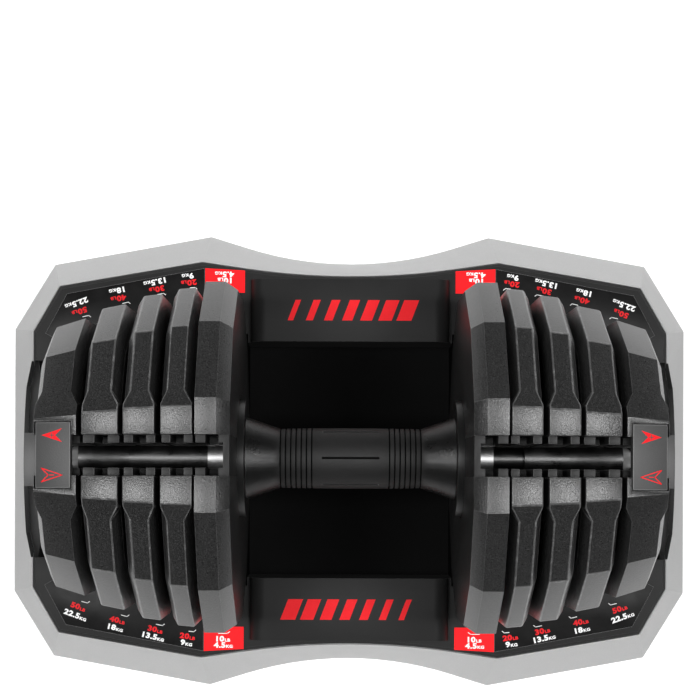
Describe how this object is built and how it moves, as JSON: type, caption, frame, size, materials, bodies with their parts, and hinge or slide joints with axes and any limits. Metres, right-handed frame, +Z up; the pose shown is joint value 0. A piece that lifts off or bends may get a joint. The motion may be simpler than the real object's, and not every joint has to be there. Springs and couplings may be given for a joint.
{
  "type": "adjustable dumbbell",
  "caption": "Twist-handle adjustable dumbbell: a rubber grip drives two selector bars through keyhole plates that stand in a moulded storage tray.",
  "frame": {"origin": "middle of the tray's footprint, on the floor", "axes": "+X along the handle and selector bars, +Y from the front of the tray to its back, +Z up"},
  "size_m": [0.4474, 0.2996, 0.218],
  "materials": {
    "tray_grey": "light grey moulded plastic, fine satin texture",
    "tray_black": "black moulded plastic, fine texture",
    "label_black": "glossy black printed label",
    "label_red": "glossy red printed label",
    "foot_rubber": "matt rubber",
    "zinc_steel": "zinc-plated steel",
    "bar_steel": "dark polished steel, fine scratches along the axis",
    "tip_steel": "dull ground steel",
    "grip_rubber": "dark grey moulded rubber, satin",
    "black_plastic": "black moulded plastic",
    "ring_plastic": "glossy black moulded plastic",
    "head_coat": "charcoal moulded cover, fine grain",
    "plate_coat": "cast iron with a charcoal hammered powder coat",
    "bare_iron": "plain cast iron",
    "cap_plastic": "dark grey moulded plastic, fine speckle",
    "spring_steel": "spring steel"
  },
  "bodies": {
    "tray": {"tray_skirt": "tray_grey", "tray_insert": "tray_black", "tray_feet": "foot_rubber", "tray_screws": "zinc_steel", "weight_label_front_left": "label_black", "weight_label_front_right": "label_black", "weight_label_back_left": "label_black", "weight_label_back_right": "label_black", "start_labels": "label_red"},
    "handle_frame": {"guide_tube": "zinc_steel", "head_inner_cover_right": "head_coat", "head_outer_cover_right": "head_coat", "head_weight_right": "bare_iron", "head_screws_right": "zinc_steel", "head_slot_liner_right": "black_plastic", "head_inner_cover_left": "head_coat", "head_outer_cover_left": "head_coat", "head_weight_left": "bare_iron", "head_screws_left": "zinc_steel", "head_slot_liner_left": "black_plastic"},
    "grip": {"grip_sleeve": "grip_rubber", "cam_sleeve": "black_plastic", "index_ring_right": "ring_plastic", "index_ring_left": "ring_plastic"},
    "bar_right": {"selector_bar_right": "bar_steel", "bar_tip_right": "tip_steel", "follower_pin_right": "zinc_steel"},
    "lock_right": {"lock_plunger_right": "zinc_steel", "lock_spring_right": "spring_steel"},
    "plate_20_right": {"weight_plate_20_right": "plate_coat", "slot_liner_20_right": "black_plastic"},
    "plate_30_right": {"weight_plate_30_right": "plate_coat", "slot_liner_30_right": "black_plastic"},
    "plate_40_right": {"weight_plate_40_right": "plate_coat", "slot_liner_40_right": "black_plastic"},
    "plate_50_right": {"weight_plate_50_right": "plate_coat", "slot_liner_50_right": "black_plastic", "end_cap_right": "cap_plastic"},
    "bar_left": {"selector_bar_left": "bar_steel", "bar_tip_left": "tip_steel", "follower_pin_left": "zinc_steel"},
    "lock_left": {"lock_plunger_left": "zinc_steel", "lock_spring_left": "spring_steel"},
    "plate_20_left": {"weight_plate_20_left": "plate_coat", "slot_liner_20_left": "black_plastic"},
    "plate_30_left": {"weight_plate_30_left": "plate_coat", "slot_liner_30_left": "black_plastic"},
    "plate_40_left": {"weight_plate_40_left": "plate_coat", "slot_liner_40_left": "black_plastic"},
    "plate_50_left": {"weight_plate_50_left": "plate_coat", "slot_liner_50_left": "black_plastic", "end_cap_left": "cap_plastic"}
  },
  "joints": [
    {"name": "dumbbell_lift", "type": "slide", "parent": "tray", "child": "handle_frame", "axis": [0, 0, 1], "range_m": [0, 0.25]},
    {"name": "handle_twist", "type": "hinge", "parent": "handle_frame", "child": "grip", "pos_m": [0, 0, 0.116], "axis": [1, 0, 0], "range_deg": [0, 240]},
    {"name": "bar_slide_right", "type": "slide", "parent": "handle_frame", "child": "bar_right", "axis": [-1, 0, 0], "range_m": [0, 0.0841]},
    {"name": "lock_slide_right", "type": "slide", "parent": "handle_frame", "child": "lock_right", "axis": [0, 0, -1], "range_m": [0, 0.00301], "deforming": ["lock_spring_right"]},
    {"name": "plate_20_lift_right", "type": "slide", "parent": "tray", "child": "plate_20_right", "axis": [0, 0, 1], "range_m": [0, 0.2501]},
    {"name": "plate_30_lift_right", "type": "slide", "parent": "tray", "child": "plate_30_right", "axis": [0, 0, 1], "range_m": [0, 0.2501]},
    {"name": "plate_40_lift_right", "type": "slide", "parent": "tray", "child": "plate_40_right", "axis": [0, 0, 1], "range_m": [0, 0.2501]},
    {"name": "plate_50_lift_right", "type": "slide", "parent": "tray", "child": "plate_50_right", "axis": [0, 0, 1], "range_m": [0, 0.2501]},
    {"name": "bar_slide_left", "type": "slide", "parent": "handle_frame", "child": "bar_left", "axis": [1, 0, 0], "range_m": [0, 0.0841]},
    {"name": "lock_slide_left", "type": "slide", "parent": "handle_frame", "child": "lock_left", "axis": [0, 0, -1], "range_m": [0, 0.00301], "deforming": ["lock_spring_left"]},
    {"name": "plate_20_lift_left", "type": "slide", "parent": "tray", "child": "plate_20_left", "axis": [0, 0, 1], "range_m": [0, 0.2501]},
    {"name": "plate_30_lift_left", "type": "slide", "parent": "tray", "child": "plate_30_left", "axis": [0, 0, 1], "range_m": [0, 0.2501]},
    {"name": "plate_40_lift_left", "type": "slide", "parent": "tray", "child": "plate_40_left", "axis": [0, 0, 1], "range_m": [0, 0.2501]},
    {"name": "plate_50_lift_left", "type": "slide", "parent": "tray", "child": "plate_50_left", "axis": [0, 0, 1], "range_m": [0, 0.2501]}
  ],
  "couplings": [
    {"joint": "bar_slide_right", "follows": "handle_twist", "m_per_rad": 0.020053},
    {"joint": "lock_slide_right", "follows": "dumbbell_lift", "ratio": 0.012},
    {"joint": "plate_20_lift_right", "follows": "dumbbell_lift", "ratio": 1},
    {"joint": "plate_30_lift_right", "follows": "dumbbell_lift", "ratio": 1},
    {"joint": "plate_40_lift_right", "follows": "dumbbell_lift", "ratio": 1},
    {"joint": "plate_50_lift_right", "follows": "dumbbell_lift", "ratio": 1},
    {"joint": "bar_slide_left", "follows": "handle_twist", "m_per_rad": 0.020053},
    {"joint": "lock_slide_left", "follows": "dumbbell_lift", "ratio": 0.012},
    {"joint": "plate_20_lift_left", "follows": "dumbbell_lift", "ratio": 1},
    {"joint": "plate_30_lift_left", "follows": "dumbbell_lift", "ratio": 1},
    {"joint": "plate_40_lift_left", "follows": "dumbbell_lift", "ratio": 1},
    {"joint": "plate_50_lift_left", "follows": "dumbbell_lift", "ratio": 1}
  ]
}
